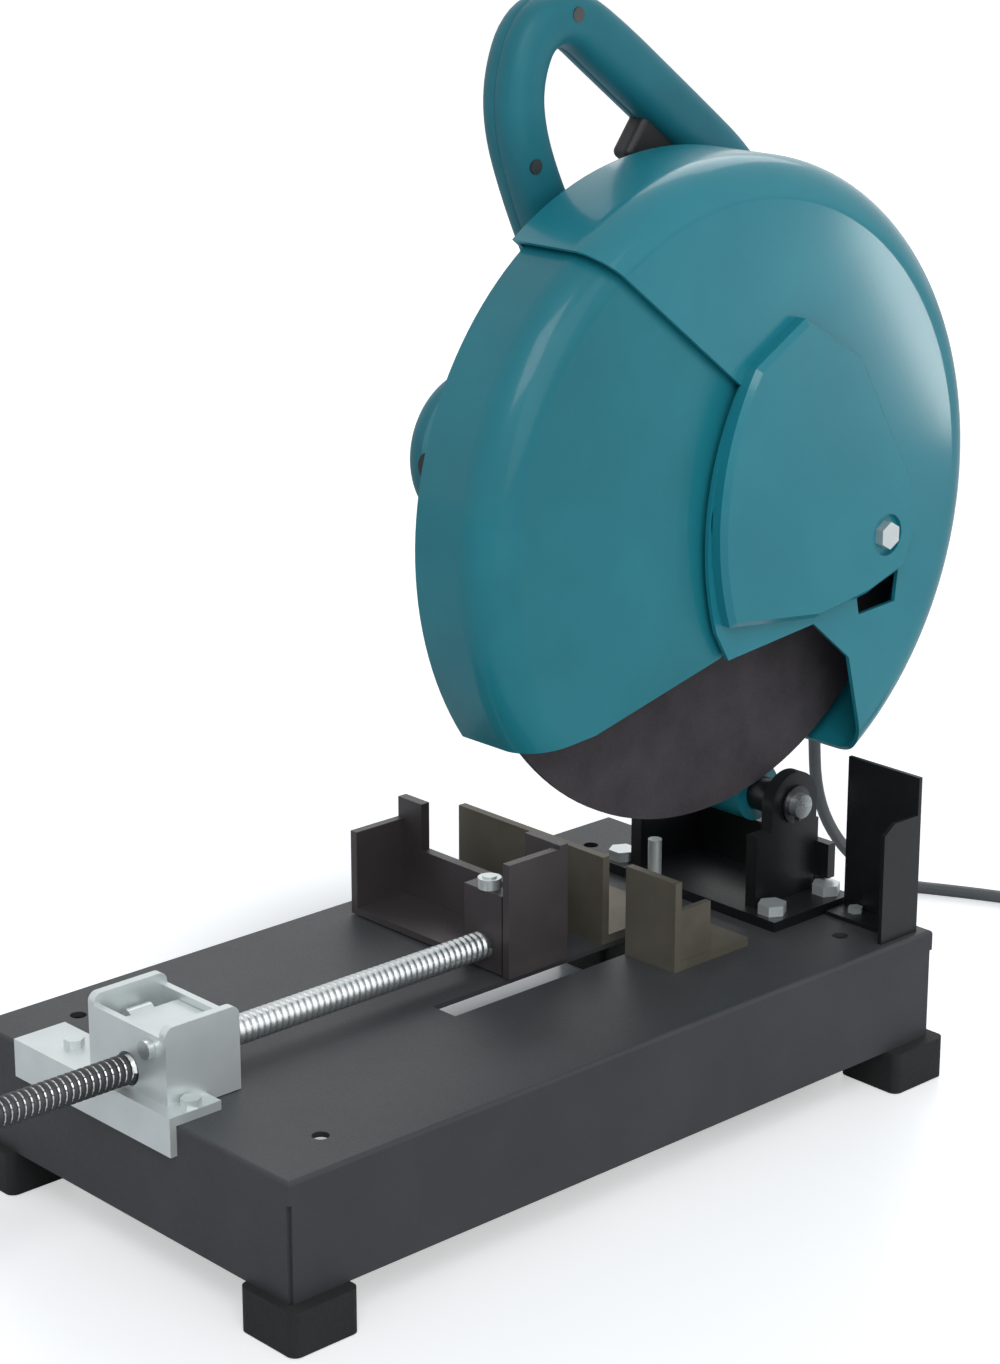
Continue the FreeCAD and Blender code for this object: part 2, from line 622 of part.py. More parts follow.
def safety_guard():
    shell = guard_shell("SafetyGuard", "safety_far", "safety_near", "safety_radius", "safety_wall",
                        30.05, 0)
    away = outline(sketch(shell, "YZ_Plane", "safety_near + 1"), (110, 207), (46, 30), (46, -40),
                   (-14, -79), (-109, -102), (-198, -109), (-240, -114), (-240, -260), (260, -260),
                   (260, 207))
    pocket(shell, away, "safety_near - safety_far + 2")
    node("safety_guard", shell)


# Spindle and wheel, which turn together.

def toothed(teeth, module, start, width, bore, phase):
    """A spur gear about the X axis, with a tooth centred on the phase in degrees."""
    pitch = module * teeth / 2
    flanks = ((-0.29, pitch - 1.15 * module), (-0.13, pitch + 0.9 * module),
              (0.13, pitch + 0.9 * module), (0.29, pitch - 1.15 * module))
    points = []
    for tooth in range(teeth):
        for share, radius in flanks:
            turn = math.radians(phase) + 2 * math.pi * (tooth + share) / teeth
            points.append(Vector(start, radius * math.cos(turn), radius * math.sin(turn)))
    blank = Part.Face(Part.Wire(Part.makePolygon(points + points[:1]))).extrude(Vector(width, 0, 0))
    return blank.cut(Part.makeCylinder(bore, width + 2, Vector(start - 1, 0, 0), Vector(1, 0, 0)))


def gear_angle():
    """The direction from the spindle to the motor's axis, in degrees."""
    rise = number("motor_z") - number("spindle_z")
    return math.degrees(math.atan2(rise, number("motor_y") - number("spindle_y")))


def gear_module():
    """The module at which the two gears' pitch circles meet."""
    apart = math.hypot(number("motor_z - spindle_z"), number("motor_y - spindle_y"))
    return 2 * apart / number("gear_teeth + pinion_teeth")


def spindle_group():
    spindle = turned("Spindle", 0, "spindle_y", "spindle_z", (-39.5, 0), (-39.5, 8), (-32.5, 8),
                     (-32.5, 11), (-17.5, 11), (-17.5, 12.5), (-12.3, 12.5), (-12.3, 10), (7, 10),
                     (7, 12.6), (29.2, 12.6), (29.2, 5), (8, 5), (8, 0))
    node("spindle", spindle)
    wheel = toothed(int(number("gear_teeth")), gear_module(), -30, 12, 11, gear_angle())
    axle = Placement(Vector(0, number("spindle_y"), number("spindle_z")), Rotation())
    node("drive_gear", feature("DriveGear", wheel, axle))
    node("inner_flange", turned("InnerFlange", 0, "spindle_y", "spindle_z", (8, 12.6), (26.5, 12.6),
                                (26.5, 36), (25.5, 38), (25.5, 42), (26.5, 44),
                                (26.5, "flange_radius"), (20, "flange_radius"), (15, 24), (8, 20)))
    near = "wheel_x + wheel_thick / 2"
    node("outer_flange", turned("OuterFlange", 0, "spindle_y", "spindle_z", (near, 5.2),
                                (f"{near} + 7.5", 5.2), (f"{near} + 7.5", 20),
                                (f"{near} + 5", "flange_radius"), (near, "flange_radius"),
                                (near, 44), (f"{near} + 1", 42), (f"{near} + 1", 38), (near, 36)))
    node("abrasive_wheel", turned("AbrasiveWheel", "wheel_x", "spindle_y", "spindle_z",
                                  ("-wheel_thick / 2", "bore_radius"),
                                  ("wheel_thick / 2", "bore_radius"),
                                  ("wheel_thick / 2", "wheel_radius"),
                                  ("-wheel_thick / 2", "wheel_radius")))
    shank = rod("x", 9, "spindle_y", "spindle_z", 4.95, 29)
    collar = rod("x", 37, "spindle_y", "spindle_z", 15, 2.5)
    head = prism("x", 39.5, "spindle_y", "spindle_z", 9.8, 6.5)
    node("wheel_bolt", join(shank, collar, head))


# Motor: a field in a drum, with an armature whose pinion drives the gear.

def motor():
    node("motor_housing", cut(
        turned("MotorHousing", 0, "motor_y", "motor_z", ("motor_right", "motor_radius - 3.5"),
               ("motor_right", "motor_radius + 8"), ("motor_right - 8", "motor_radius + 8"),
               ("motor_right - 8", "motor_radius"), (-106, "motor_radius"),
               (-106, "motor_radius - 3.5")),
        *[rod("x", -54, y, z, 2.5, 14) for y, z in MOTOR_SCREWS],
        rod("y", -97, "motor_y - 60", "motor_z", 8.6, 120)))
    cover = turned("EndCover", 0, "motor_y", "motor_z", (-106, "motor_radius - 3.5"),
                   (-106, "motor_radius"), ("motor_left + 14", "motor_radius", 14),
                   ("motor_left", "motor_radius - 14"), ("motor_left", 0), (-120, 0), (-120, 11),
                   (-110, 11), (-110, 15), (-120, 15), (-120, "motor_radius - 16"),
                   ("motor_left + 14", "motor_radius - 3.5"))
    vents = [box("motor_left - 1", "motor_y - 19", f"motor_z + {offset} - 2", 5.5, 38, 4)
             for offset in (-26, -13, 13, 26)]
    boss = rod("x", -121, "motor_y", "motor_z", 15.2, 30)
    node("motor_end_cover", cut(cover, cut(join(*vents), boss)))
    node("stator", turned("Stator", 0, "motor_y", "motor_z", (-86, 28), (-58, 28),
                          (-58, "motor_radius - 3.5"), (-86, "motor_radius - 3.5")))
    node("motor_screws", join(*[join(rod("x", -52, y, z, 2.45, 20), rod("x", -54, y, z, 3.6, 4))
                                for y, z in MOTOR_SCREWS]))
    holders, carbons, caps = [], [], []
    for side in (-1, 1):
        inner = f"motor_y + {side} * 30 - 14"
        holders.append(cut(rod("y", -97, inner, "motor_z", 6.4, 28),
                           box(-100.1, f"{inner} - 1", "motor_z - 4.1", 6.2, 30, 8.2)))
        carbons.append(box(-100, f"motor_y + {side} * 25.3 - 10.8", "motor_z - 4", 6, 21.6, 8))
        caps.append(rod("y", -97, f"motor_y + {side} * 47.5 - 3", "motor_z", 8.5, 6))
    node("brush_holders", join(*holders))
    node("carbon_brushes", join(*carbons))
    node("brush_caps", join(*caps))


def rotor():
    shaft = turned("Armature", 0, "motor_y", "motor_z", (-117.5, 0), (-117.5, 5), (-84, 5),
                   (-84, 26), (-60, 26), (-60, 5), (-31, 5), (-31, 4), (-17.5, 4), (-17.5, 0))
    teeth = int(number("pinion_teeth"))
    phase = gear_angle() + 180 + 180 / teeth
    pinion = toothed(teeth, gear_module(), -30.5, 12.5, 3.9, phase)
    axle = Placement(Vector(0, number("motor_y"), number("motor_z")), Rotation())
    node("armature", join(shaft, feature("Pinion", pinion, axle)))
    bars = cut(rod("x", -104, "motor_y", "motor_z", 14, 14),
               rod("x", -105, "motor_y", "motor_z", 5, 16))
    node("commutator", bars)
    disc = cut(rod("x", -48, "motor_y", "motor_z", 40, 2),
               rod("x", -49, "motor_y", "motor_z", 5, 5))
    blades = []
    for index in range(10):
        blade = doc.addObject("Part::Box", "Blade")
        bind(blade, Length=7.5, Width=24, Height=1.8)
        way = Rotation(Vector(1, 0, 0), 36 * index)
        blade.Placement = Placement(Vector(0, 0, 0), way)
        foot = way.multVec(Vector(0, 15, -0.9))
        place(blade, -55, f"motor_y + {foot.y:.4f}", f"motor_z + {foot.z:.4f}", way)
        blades.append(blade)
    node("cooling_fan", join(disc, *blades))


# Handle: two moulded halves round the switch.

GRIP_SLOPE = -36.6
HANDLE_SCREWS = ((100, 436), (226, 436), (62, 520), (92, 596), (224, 508))


GRIP_TURN = Rotation(Vector(1, 0, 0), GRIP_SLOPE)
GRIP_TOP = (98, 616)


def grip_point(u, v):
    """A point's place from the grip's own frame: u runs down the grip and v stands off its top."""
    point = GRIP_TURN.multVec(Vector(0, u, v))
    return f"{GRIP_TOP[0]} + {point.y:.4f}", f"{GRIP_TOP[1]} + {point.z:.4f}"


def grip_box(u, v, left, length, height, width):
    """A block in the grip's own frame, from its least corner."""
    block = bind(doc.addObject("Part::Box", "GripBlock"), Length=width, Width=length, Height=height)
    return place(block, left, *grip_point(u, v), GRIP_TURN)


def handle():
    for label, left, skin_at, heads in (
            ("handle_left", "handle_x - handle_wide / 2", "handle_x - handle_wide / 2", []),
            ("handle_right", "handle_x", "handle_x + handle_wide / 2", HANDLE_SCREWS)):
        half = body(f"{label}_blank")
        loop = sketch(half, "YZ_Plane", left)
        outline(loop, (84, 424), (240, 424), (256, 488), (246, 508), (108, 611), (84, 614),
                (54, 586), (44, 548), (68, 480))
        outline(loop, (128, 440), (102, 494), (76, 550), (80, 568), (94, 578), (214, 489),
                (212, 452))
        pad(half, loop, "handle_wide / 2")
        doc.recompute()
        face = number(skin_at)
        skin = rounded(half, 5, lambda edge, at=face: abs(edge.BoundBox.XMin - at) < 0.01
                       and abs(edge.BoundBox.XMax - at) < 0.01)
        room = grip_box(41, -28.5, "handle_x - 10", 44, 22, 20)
        slot = grip_box(85, -40, "handle_x - 7.5", 46, 26, 15)
        gland = rod("y", "handle_x", 226, 468, 9, 40)
        button = rod("x", "handle_x - 20", 178.5, 542, 5.4, 13)
        ways = [rod("x", "handle_x - 20", y, z, 2.5, 40) for y, z in HANDLE_SCREWS]
        sinks = [rod("x", "handle_x + 11.9", y, z, 4.2, 6) for y, z in heads]
        node(label, cut(skin, room, slot, gland, button, *ways, *sinks))
    screws = [join(rod("x", "handle_x - 14", y, z, 2.45, 26), rod("x", "handle_x + 11.9", y, z, 4, 3.1))
              for y, z in HANDLE_SCREWS]
    node("handle_screws", join(*screws))
    node("switch_body", grip_box(41.2, -28.3, "handle_x - 9.8", 43.6, 21.6, 19.6))



def controls():
    blade = grip_box(89, -56, "handle_x - 6.8", 38, 31, 13.6)
    soft = rounded(blade, 4, lambda edge: edge.BoundBox.XLength < 1e-3
                   or abs(edge.BoundBox.XLength - 13.6) < 0.01)
    pivot = rod("x", "handle_x - 8", *grip_point(93.5, -29.5), 1.6, 16)
    node("trigger", cut(soft, pivot))
    stem = rod("x", "handle_x - 20", 178.5, 542, 5, 10)
    node("lock_button", stem)
    pin = rod("x", -52, "spindle_y + 24", "spindle_z - 8", 3.3, 18)
    knob = rod("x", -56, "spindle_y + 24", "spindle_z - 8", 7, 6)
    node("shaft_lock", join(pin, knob))
    plug = cone("y", "handle_x", 234, 468, 9, 6, 52)
    collar = rod("y", "handle_x", 227, 468, 9, 8)
    node("strain_relief", join(collar, plug))


# Mains lead: it hangs behind the machine, runs over the floor and ends in a stored coil.

CORD_ROUTE = [
    (-30, 286, 468), (-30, 318, 468), (-30, 346, 452), (-31, 362, 424), (-34, 363, 384),
    (-42, 362, 332), (-56, 363, 276), (-74, 369, 222), (-92, 382, 170), (-108, 400, 116),
    (-118, 416, 58), (-102, 427, 23), (-73, 442, 4), (-38, 463, 4), (4, 484, 4), (48, 498, 4),
    (92, 506, 4),
]
COIL_X, COIL_Y, COIL_INNER, COIL_OUTER, COIL_HIGH = 108, 568, 40, 64, 17


def cord_lead():
    """Straight runs joined by tangent arcs, each as large as its two runs allow."""
    points = [Vector(*point) for point in CORD_ROUTE]
    edges, last, length = [], points[0], 0
    for before, corner, after in zip(points, points[1:], points[2:]):
        come, leave = corner - before, after - corner
        half = come.getAngle(leave) / 2
        reach = 0.45 * min(come.Length, leave.Length)
        print(f"cord radius at {tuple(corner)}: {reach / math.tan(half):.0f}")
        come.normalize()
        leave.normalize()
        start, end = corner - come * reach, corner + leave * reach
        inward = (leave - come).normalize()
        radius = reach / math.tan(half)
        middle = corner + inward * (radius / math.cos(half) - radius)
        edges.append(Part.LineSegment(last, start).toShape())
        edges.append(Part.Arc(start, middle, end).toShape())
        last = end
    edges.append(Part.LineSegment(last, points[-1]).toShape())
    path = Part.Wire(edges)
    thick = number("cord_thick")
    ring = Part.Wire(Part.makeCircle(thick / 2, points[0], points[1] - points[0]))
    tube = path.makePipeShell([ring], True, False)
    wanted = math.pi * thick ** 2 / 4 * path.Length
    print(f"cord: {path.Length:.0f} mm, volume {tube.Volume / wanted:.4f} of section times length")
    node("cord_lead", feature("CordLead", tube))


def cord_end():
    ring = cut(rod("z", COIL_X, COIL_Y, 0, COIL_OUTER, COIL_HIGH),
               rod("z", COIL_X, COIL_Y, -1, COIL_INNER, COIL_HIGH + 2))
    node("cord_coil", ring)
    x, y = COIL_X + 60, COIL_Y + 46
    sleeve = cone("y", x, y - 6, 8, 5, 6.5, 20)
    block = rounded(box(x - 17, y + 12, 0, 34, 40, 16), 4, lambda edge: True)
    ways = [rod("y", x + side * 9.5, y + 46, 8, 2.05, 10) for side in (-1, 1)]
    node("plug_body", cut(join(sleeve, block), *ways))
    node("plug_pins", join(*[rod("y", x + side * 9.5, y + 46.1, 8, 2, 25) for side in (-1, 1)]))


def check_and_write():
    """Stops at a failed object, then writes each node's file."""
    doc.recompute()
    failed = [obj for obj in doc.Objects if {"Invalid", "Error"} & set(obj.State)]
    for obj in failed:
        print(f"{obj.Name} ({obj.Label}) failed: {obj.State} {obj.getStatusString()}")
    if failed:
        raise RuntimeError("an object failed")
    os.makedirs("parts", exist_ok=True)
    for obj in NODES:
        shape = obj.Shape
        if shape.isNull() or not shape.isValid():
            raise RuntimeError(f"{obj.Label} has no valid shape")
        shape.exportStep(f"parts/{obj.Label}.step")
        print(f"{obj.Label}: {shape.Volume / 1000:.2f} cm3, {len(shape.Solids)} solids")


base_frame()
feet()
pivot_bracket()
torsion_spring()
guide_plate()
depth_stop()
spark_guard()
vise_holder()
vise_nut()
vise_screw()
vise_jaw()
arm_housing()
bearing_box()
bearings()
wheel_guard()
center_cover()
safety_guard()
spindle_group()
motor()
rotor()
handle()
controls()
cord_lead()
cord_end()
check_and_write()
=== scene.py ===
"""An abrasive chop saw: finishes, studio and the pieces that its construction model leaves plain."""

import logging
import math
from dataclasses import dataclass
from enum import Enum
from typing import Sequence

import bpy
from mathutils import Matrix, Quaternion, Vector

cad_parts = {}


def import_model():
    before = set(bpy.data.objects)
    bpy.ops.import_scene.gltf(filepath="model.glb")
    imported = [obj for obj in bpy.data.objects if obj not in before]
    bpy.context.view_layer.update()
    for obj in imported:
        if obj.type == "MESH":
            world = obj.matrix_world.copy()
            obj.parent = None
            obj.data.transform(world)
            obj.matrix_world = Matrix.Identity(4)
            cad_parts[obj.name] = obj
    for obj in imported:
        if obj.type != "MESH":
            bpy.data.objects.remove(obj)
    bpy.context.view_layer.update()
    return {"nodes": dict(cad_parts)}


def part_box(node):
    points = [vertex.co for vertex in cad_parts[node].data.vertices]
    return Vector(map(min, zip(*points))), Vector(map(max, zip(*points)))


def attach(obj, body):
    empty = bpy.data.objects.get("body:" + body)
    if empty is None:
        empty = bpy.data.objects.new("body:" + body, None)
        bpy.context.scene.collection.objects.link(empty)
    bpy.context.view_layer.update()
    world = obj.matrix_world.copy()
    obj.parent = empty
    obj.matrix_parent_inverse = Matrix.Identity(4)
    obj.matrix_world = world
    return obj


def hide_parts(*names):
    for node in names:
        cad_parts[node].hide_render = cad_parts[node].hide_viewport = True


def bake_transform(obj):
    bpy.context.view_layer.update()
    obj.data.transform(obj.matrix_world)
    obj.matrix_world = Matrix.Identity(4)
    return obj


LOG = logging.getLogger("chop_saw")
MM = 0.001

WHITE = (1.0, 1.0, 1.0, 1.0)

# Parts of a noise's range: where its patches of colour blend, and what its finest pattern fills.
PATCH_SPAN = (0.32, 0.7)
FINE_SPAN = (0.25, 0.75)
BUMP_STRENGTH = 0.55
DUST_CLOUD_MM = 35.0
# Turning marks run round an axis along X, so their pattern is squeezed along it.
TURNED_SCALE = (6.0, 0.5, 0.5)

Point = tuple[float, float, float]
Colour = tuple[float, float, float, float]


def linear(hex_colour: str) -> Colour:
    """Turns an sRGB hex colour into linear light.

    Args:
        hex_colour: Six hex digits after a hash, such as "#3b8a98".

    Returns:
        Red, green, blue and an alpha of 1.
    """
    channels = [int(hex_colour[start:start + 2], 16) / 255 for start in (1, 3, 5)]
    light = [c / 12.92 if c <= 0.04045 else ((c + 0.055) / 1.055) ** 2.4 for c in channels]
    return light[0], light[1], light[2], 1.0


def cells_per_metre(size_mm: float) -> float:
    """The scale of a pattern whose features repeat about once in size_mm."""
    return 1.0 / (size_mm * MM)


class Grain(Enum):
    """How a surface was made, which sets the form of its relief."""

    SPRAYED = "sprayed"
    MOULDED = "moulded"
    TURNED = "turned"
    CAST = "cast"
    PRESSED_GRIT = "pressed grit"


# Materials.

class Nodes:
    """A node tree, built node by node."""

    def __init__(self, tree: bpy.types.NodeTree) -> None:
        """Starts with the tree emptied."""
        self.tree = tree
        self.tree.nodes.clear()

    def add(self, kind: str, links: dict[str, bpy.types.NodeSocket] | None = None,
            values: dict[str, object] | None = None, **settings: object) -> bpy.types.Node:
        """Adds a node.

        Args:
            kind: The node's type name after "ShaderNode".
            links: Input names or numbers, each with the socket that feeds it.
            values: Input names or numbers, each with a constant.
            settings: Properties of the node.

        Returns:
            The node.
        """
        made = self.tree.nodes.new("ShaderNode" + kind)
        for name, value in settings.items():
            setattr(made, name, value)
        for name, value in (values or {}).items():
            made.inputs[name].default_value = value
        for name, socket in (links or {}).items():
            self.tree.links.new(socket, made.inputs[name])
        return made


class Graph(Nodes):
    """A material's node tree, with its output and its shader."""

    def __init__(self, name: str) -> None:
        """Starts a plain material.

        Args:
            name: The material's name.
        """
        self.material = bpy.data.materials.new(name)
        self.material.use_nodes = True
        super().__init__(self.material.node_tree)
        self.output = self.add("OutputMaterial")
        self.shader = self.add("BsdfPrincipled")
        self.tree.links.new(self.shader.outputs[0], self.output.inputs[0])

    def feed(self, name: str, socket: bpy.types.NodeSocket) -> None:
        """Links a socket to the shader's input of that name."""
        self.tree.links.new(socket, self.shader.inputs[name])


@dataclass(frozen=True)
class Finish:
    """A finish: what the piece is made of, and what its surface gives the eye.

    colour and shade are the two ends of its slow patches, spread is how far the roughness varies,
    and dust_share is how much dust lies on a level face.
    """

    name: str
    colour: str
    shade: str
    roughness: float
    grain: Grain
    grain_mm: float = 1.2
    relief_mm: float = 0.03
    metallic: float = 0.0
    specular: float = 0.5
    coat: float = 0.0
    coat_roughness: float = 0.12
    dust: str = ""
    dust_share: float = 0.0
    patch_mm: float = 60.0
    spread: float = 0.06

    def build(self) -> bpy.types.Material:
        """Makes the material.

        Returns:
            A material whose colour, roughness and relief vary as its making gives them.
        """
        graph = Graph(self.name)
        shader = graph.shader
        shader.inputs["Metallic"].default_value = self.metallic
        shader.inputs["Specular IOR Level"].default_value = self.specular
        shader.inputs["Coat Weight"].default_value = self.coat
        shader.inputs["Coat Roughness"].default_value = self.coat_roughness
        place = graph.add("TexCoord").outputs["Object"]
        patch = graph.add("TexNoise", {"Vector": place},
                          {"Scale": cells_per_metre(self.patch_mm), "Detail": 3.0, "Roughness": 0.55})
        share = graph.add("MapRange", {"Value": patch.outputs["Fac"]},
                          {"From Min": PATCH_SPAN[0], "From Max": PATCH_SPAN[1]})
        colour = graph.add("Mix", {"Factor": share.outputs[0]},
                           {"A": linear(self.shade), "B": linear(self.colour)},
                           data_type="RGBA").outputs["Result"]
        if self.dust:
            colour = self._settle(graph, place, colour)
        graph.feed("Base Color", colour)
        fine = self._fine(graph, place)
        span = graph.add("MapRange", {"Value": fine},
                         {"From Min": FINE_SPAN[0], "From Max": FINE_SPAN[1],
                          "To Min": max(self.roughness - self.spread, 0.03),
                          "To Max": min(self.roughness + self.spread, 1.0)})
        graph.feed("Roughness", span.outputs[0])
        bump = graph.add("Bump", {"Height": fine},
                         {"Strength": BUMP_STRENGTH, "Distance": self.relief_mm * MM})
        graph.feed("Normal", bump.outputs[0])
        return graph.material

    def _fine(self, graph: Graph, place: bpy.types.NodeSocket) -> bpy.types.NodeSocket:
        """Draws the finest pattern of the surface.

        Args:
            graph: The material's tree.
            place: The place on the object.

        Returns:
            The pattern, from 0 to 1.
        """
        scale = cells_per_metre(self.grain_mm)
        if self.grain is Grain.TURNED:
            stretched = graph.add("Mapping", {"Vector": place}, {"Scale": TURNED_SCALE})
            noise = graph.add("TexNoise", {"Vector": stretched.outputs[0]},
                              {"Scale": scale, "Detail": 2.0})
            return noise.outputs["Fac"]
        if self.grain is Grain.PRESSED_GRIT:
            grit = graph.add("TexVoronoi", {"Vector": place}, {"Scale": scale, "Randomness": 1.0})
            return grit.outputs["Distance"]
        detail = {Grain.SPRAYED: 2.0, Grain.MOULDED: 1.0, Grain.CAST: 5.0}[self.grain]
        noise = graph.add("TexNoise", {"Vector": place}, {"Scale": scale, "Detail": detail})
        return noise.outputs["Fac"]

    def _settle(self, graph: Graph, place: bpy.types.NodeSocket,
                colour: bpy.types.NodeSocket) -> bpy.types.NodeSocket:
        """Lays fine dust on faces that look up.

        Args:
            graph: The material's tree.
            place: The place on the object.
            colour: The finish's own colour.

        Returns:
            The colour with its dust.
        """
        facing = graph.add("SeparateXYZ", {"Vector": graph.add("NewGeometry").outputs["Normal"]})
        cloud = graph.add("TexNoise", {"Vector": place},
                          {"Scale": cells_per_metre(DUST_CLOUD_MM), "Detail": 6.0})
        share = graph.add("Math", {0: facing.outputs["Z"], 1: cloud.outputs["Fac"]},
                          operation="MULTIPLY")
        limit = graph.add("Math", {0: share.outputs[0]}, {1: self.dust_share}, operation="MULTIPLY",
                          use_clamp=True)
        mixed = graph.add("Mix", {"Factor": limit.outputs[0], "A": colour}, {"B": linear(self.dust)},
                          data_type="RGBA")
        return mixed.outputs["Result"]


class Finishes:
    """Every finish of the saw, made once."""

    # Aluminium and steel covers under a sprayed enamel coat: a soft gloss over faint orange peel.
    ENAMEL = Finish("sprayed_enamel_teal", "#258f9f", "#1e8393", 0.34, Grain.SPRAYED, 2.4, 0.05,
                    specular=0.2, coat=0.5, patch_mm=120)
    # The moving guard's coat is the same, rubbed slightly duller by dust.
    ENAMEL_WORN = Finish("sprayed_enamel_teal_rubbed", "#218795", "#1b7987", 0.4, Grain.SPRAYED,
                         2.4, 0.05, specular=0.2, coat=0.3, patch_mm=90)
    # Glass-filled nylon, moulded: darker, with the fine spark texture of its mould.
    NYLON_TEAL = Finish("moulded_nylon_teal", "#227d8c", "#1a6f7d", 0.48, Grain.MOULDED, 0.9, 0.06,
                        specular=0.35)
    NYLON_BLACK = Finish("moulded_nylon_black", "#17191b", "#101214", 0.52, Grain.MOULDED, 0.9, 0.06)
    # Pressed sheet steel with baked charcoal enamel, slightly dusty on top.
    CHARCOAL = Finish("baked_enamel_charcoal", "#464649", "#3e3e41", 0.5, Grain.SPRAYED, 1.8, 0.06,
                      specular=0.3, dust="#575e5d", dust_share=0.4)
    BLACK_ENAMEL = Finish("baked_enamel_black", "#15181b", "#0e1012", 0.42, Grain.SPRAYED, 1.8, 0.05,
                          dust="#3c3f40", dust_share=0.3)
    JAW_ENAMEL = Finish("baked_enamel_jaw", "#504a4c", "#3f3a3b", 0.45, Grain.SPRAYED, 1.8, 0.05,
                        dust="#45413c", dust_share=0.35)
    # Moulded rubber: matt, with a bloom that lightens it.
    RUBBER = Finish("moulded_rubber", "#1d1e1f", "#151617", 0.78, Grain.MOULDED, 1.4, 0.08)
    # PVC sheath: smooth and slightly waxy.
    SHEATH = Finish("pvc_sheath", "#5b5f61", "#53575a", 0.45, Grain.MOULDED, 3.0, 0.03)
    # Bright zinc plate: pale, a little blue, and not mirror-like.
    ZINC = Finish("bright_zinc_plate", "#e8eeee", "#d6dddd", 0.34, Grain.CAST, 1.5, 0.02, metallic=0.5)
    # Turned and ground steel, with rings left by the tool.
    STEEL = Finish("turned_steel", "#d6dada", "#c3c8c9", 0.3, Grain.TURNED, 0.8, 0.02, metallic=0.85)
    # The thread ahead of the nut is drawn darker than the bright thread behind it.
    DARKER_STEEL = Finish("darker_steel", "#4c4d4f", "#333436", 0.5, Grain.CAST, 1.2, 0.04, metallic=0.5)
    SPRING = Finish("oiled_spring_steel", "#6a6a6b", "#545456", 0.32, Grain.TURNED, 1.0, 0.02,
                    metallic=1.0)
    # Blackened cast iron: brownish grey and grainy.
    IRON = Finish("blackened_cast_iron", "#7c776a", "#625e52", 0.6, Grain.CAST, 1.2, 0.12, metallic=0.4)
    ALUMINIUM = Finish("die_cast_aluminium", "#b9bcbd", "#a4a8aa", 0.45, Grain.CAST, 1.4, 0.06,
                       metallic=1.0)
    # Resin-bonded abrasive: grit of about 0.7 mm, drawn at 1.6 mm so that it shows.
    ABRASIVE = Finish("resin_bonded_abrasive", "#4a4549", "#3b373b", 0.85, Grain.PRESSED_GRIT, 1.6,
                      0.25, patch_mm=25)
    CORE = Finish("varnished_iron_sheets", "#4b4a4c", "#3c3432", 0.5, Grain.TURNED, 0.6, 0.05,
                  metallic=0.6)
    COPPER = Finish("drawn_copper", "#c98a62", "#b4744e", 0.3, Grain.TURNED, 0.9, 0.02, metallic=1.0)
    BRASS = Finish("turned_brass", "#d2b46a", "#bf9e53", 0.28, Grain.TURNED, 0.9, 0.02, metallic=1.0)
    CARBON = Finish("pressed_carbon", "#2b2b2d", "#212123", 0.6, Grain.CAST, 0.8, 0.05)

    def __init__(self) -> None:
        """Starts with no material made."""
        self._made: dict[str, bpy.types.Material] = {}

    def of(self, finish: Finish) -> bpy.types.Material:
        """Finds the material of a finish, made at its first use.

        Args:
            finish: The finish.

        Returns:
            Its one material.
        """
        if finish.name not in self._made:
            self._made[finish.name] = finish.build()
        return self._made[finish.name]

    def dress(self, obj: bpy.types.Object, finish: Finish) -> None:
        """Gives an object a finish in every material slot.

        Args:
            obj: The object.
            finish: Its finish.
        """
        material = self.of(finish)
        if not obj.material_slots:
            obj.data.materials.append(material)
        for slot in obj.material_slots:
            slot.material = material


# Meshes.

def new_mesh(name: str, points: Sequence[Point], faces: Sequence[Sequence[int]],
             smooth: bool = True) -> bpy.types.Object:
    """Makes an object of points and faces.

    Args:
        name: The piece's name.
        points: Corners in metres, in the saw's frame.
        faces: Corner numbers, counter-clockwise from outside.
        smooth: Whether its shading is smooth.

    Returns:
        The object, in the scene.
    """
    mesh = bpy.data.meshes.new(name)
    mesh.from_pydata([tuple(point) for point in points], [], [tuple(face) for face in faces])
    mesh.polygons.foreach_set("use_smooth", [smooth] * len(mesh.polygons))
    mesh.validate()
    obj = bpy.data.objects.new(name, mesh)
    bpy.context.scene.collection.objects.link(obj)
    return obj


def swept(name: str, path: Sequence[Vector], ring: Sequence[tuple[float, float]],
          scale: Sequence[tuple[float, float]] | None = None,
          up: Vector = Vector((0, 0, 1)), closed: bool = False) -> bpy.types.Object:
    """Sweeps a ring along a path, with its frame carried without twist.

    Args:
        name: The piece's name.
        path: Points in metres.
        ring: The section's points: across, and along the carried normal.
        scale: Two factors for the section at each point.
        up: A direction that sets the first normal.
        closed: Whether the path joins its start.

    Returns:
        The swept object, capped when it is open.
    """
    count = len(path)
    points: list[Point] = []
    normal = up.copy()
    for index, place in enumerate(path):
        before = path[index - 1] if index or closed else place
        after = path[(index + 1) % count] if index + 1 < count or closed else place
        tangent = (after - before).normalized()
        normal = (normal - tangent * normal.dot(tangent)).normalized()
        side = tangent.cross(normal)
        wide, high = scale[index] if scale else (1.0, 1.0)
        points += [tuple(place + side * (x * wide) + normal * (y * high)) for x, y in ring]
    size = len(ring)
    faces: list[list[int]] = []
    for index in range(count if closed else count - 1):
        for turn in range(size):
            this, following = index * size, (index + 1) % count * size
            across = (turn + 1) % size
            faces.append([this + turn, following + turn, following + across, this + across])
    if not closed:
        faces.append(list(range(size)))
        faces.append([(count - 1) * size + turn for turn in reversed(range(size))])
    return new_mesh(name, points, faces)


